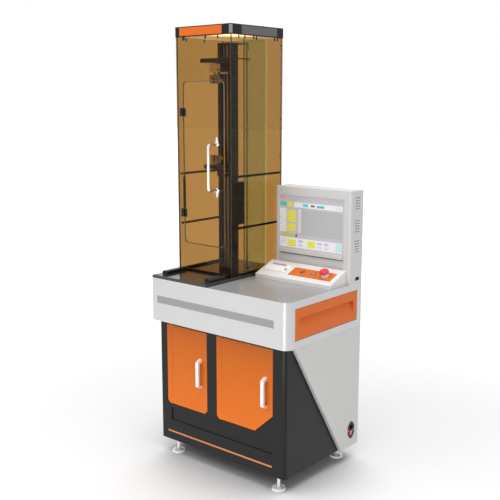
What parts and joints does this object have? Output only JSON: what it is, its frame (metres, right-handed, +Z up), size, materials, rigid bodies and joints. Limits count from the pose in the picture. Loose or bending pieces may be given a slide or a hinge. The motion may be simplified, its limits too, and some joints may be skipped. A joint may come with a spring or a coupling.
{
  "type": "universal testing machine",
  "caption": "Floor-standing single-column universal testing machine: guarded screw-driven crosshead, cabinet with doors and drawer, sloped console with screen, keys and printer.",
  "frame": {"origin": "on the floor under the middle of the whole machine's box", "axes": "+Z up, +X to the operator's right, the machine faces -Y"},
  "size_m": [0.7296, 0.514, 1.794],
  "materials": {
    "white_paint": "smooth semi-gloss white powder coat",
    "grey_paint": "light grey fine-textured powder coat",
    "black_paint": "near-black satin powder coat",
    "orange_paint": "orange satin powder coat",
    "stripe_grey": "mid grey satin paint",
    "worktop_grey": "polished warm grey",
    "plate_black": "glossy black",
    "column_black": "black anodised, satin",
    "amber_acrylic": "clear amber, polished",
    "lamp": "milky diffuser",
    "chrome": "polished",
    "steel": "ground",
    "alloy": "brushed",
    "motor_black": "black cast",
    "iron": "machined casting, painted",
    "black_plastic": "fine grained",
    "white_plastic": "fine grained",
    "screen_glass": "display behind clear glass",
    "red_plastic": "glossy",
    "green_plastic": "glossy"
  },
  "bodies": {
    "root": {"cabinet_shell": "black_paint", "front_frame": "black_paint", "accent_strip": "orange_paint", "cabinet_pivots": "steel", "side_panel": "grey_paint", "deck_housing": "white_paint", "stripe_inlay": "stripe_grey", "worktop": "worktop_grey", "base_plate": "plate_black", "fixture_rails": "plate_black", "drive_pedestal": "iron", "drive_motor": "motor_black", "column": "column_black", "screw_bearings": "column_black", "guide_rods": "steel", "lower_arm": "column_black", "lower_grip": "steel", "limit_rod": "steel", "amplifier_box": "column_black", "guard_front": "amber_acrylic", "guard_sides": "amber_acrylic", "guard_back": "amber_acrylic", "guard_braces": "black_paint", "hinge_fixed_leaves": "black_paint", "cap_frame": "black_paint", "cap_front_insert": "orange_paint", "cap_side_insert": "stripe_grey", "cap_clip": "chrome", "cap_light": "lamp", "console_housing": "grey_paint", "usb_port": "black_plastic", "touch_screen": "screen_glass", "console_desk": "grey_paint", "keypad_plate": "orange_paint", "estop_collar": "chrome", "printer_body": "white_plastic", "power_inlet": "black_plastic", "drawer_runners": "steel", "controller_box": "black_paint", "levelling_feet": "chrome"},
    "crosshead": {"crosshead_arm": "column_black", "carriage": "alloy", "load_cell": "alloy", "upper_grip": "steel"},
    "screw": {"drive_screw": "steel"},
    "upper_clamp": {"upper_jaw": "steel"},
    "lower_clamp": {"lower_jaw": "steel"},
    "hatch": {"guard_hatch": "amber_acrylic", "hatch_handle": "chrome", "hinge_hatch_leaves": "black_paint"},
    "left_cabinet_door": {"left_door": "orange_paint", "left_pull": "chrome"},
    "right_cabinet_door": {"right_door": "orange_paint", "right_pull": "chrome"},
    "side_drawer": {"drawer": "orange_paint"},
    "stop_mushroom": {"estop_head": "red_plastic"},
    "start_key": {"start_button": "green_plastic"},
    "stop_key": {"stop_button": "chrome"},
    "mains_switch": {"power_rocker": "red_plastic"},
    "printer_cover": {"printer_lid": "white_plastic"}
  },
  "joints": [
    {"name": "crosshead_slide", "type": "slide", "parent": "root", "child": "crosshead", "axis": [0, 0, 1], "range_m": [-0.285, 0.035]},
    {"name": "screw_spin", "type": "hinge", "parent": "root", "child": "screw", "pos_m": [-0.2118, 0.0795, 0.772], "axis": [0, 0, 1], "range_deg": [-10270, 1270]},
    {"name": "upper_jaw_clamp", "type": "slide", "parent": "crosshead", "child": "upper_clamp", "axis": [-1, 0, 0], "range_m": [0, 0.008]},
    {"name": "lower_jaw_clamp", "type": "slide", "parent": "root", "child": "lower_clamp", "axis": [-1, 0, 0], "range_m": [0, 0.008]},
    {"name": "hatch_swing", "type": "hinge", "parent": "root", "child": "hatch", "pos_m": [-0.3278, -0.079, 1.235], "axis": [0, 0, -1], "range_deg": [0, 110]},
    {"name": "left_door_swing", "type": "hinge", "parent": "root", "child": "left_cabinet_door", "pos_m": [-0.2678, -0.228, 0.397], "axis": [0, 0, -1], "range_deg": [0, 105]},
    {"name": "right_door_swing", "type": "hinge", "parent": "root", "child": "right_cabinet_door", "pos_m": [0.0142, -0.228, 0.397], "axis": [0, 0, -1], "range_deg": [0, 105]},
    {"name": "drawer_slide", "type": "slide", "parent": "root", "child": "side_drawer", "axis": [1, 0, 0], "range_m": [0, 0.25]},
    {"name": "estop_press", "type": "slide", "parent": "root", "child": "stop_mushroom", "axis": [0, 0.3557, -0.9346], "range_m": [0, 0.004]},
    {"name": "start_press", "type": "slide", "parent": "root", "child": "start_key", "axis": [0, 0.3557, -0.9346], "range_m": [0, 0.002], "stiffness_N_per_m": 400},
    {"name": "stop_press", "type": "slide", "parent": "root", "child": "stop_key", "axis": [0, 0.3557, -0.9346], "range_m": [0, 0.002], "stiffness_N_per_m": 400},
    {"name": "power_switch", "type": "hinge", "parent": "root", "child": "mains_switch", "pos_m": [0.35962, 0.203, 0.12112], "axis": [0, -1, 0], "range_deg": [0, 18]},
    {"name": "printer_lid_swing", "type": "hinge", "parent": "root", "child": "printer_cover", "pos_m": [0.0297, 0.09641, 0.79497], "axis": [1, 0, 0], "range_deg": [0, 90]}
  ],
  "couplings": [
    {"joint": "screw_spin", "follows": "crosshead_slide", "rad_per_m": 628.32}
  ]
}
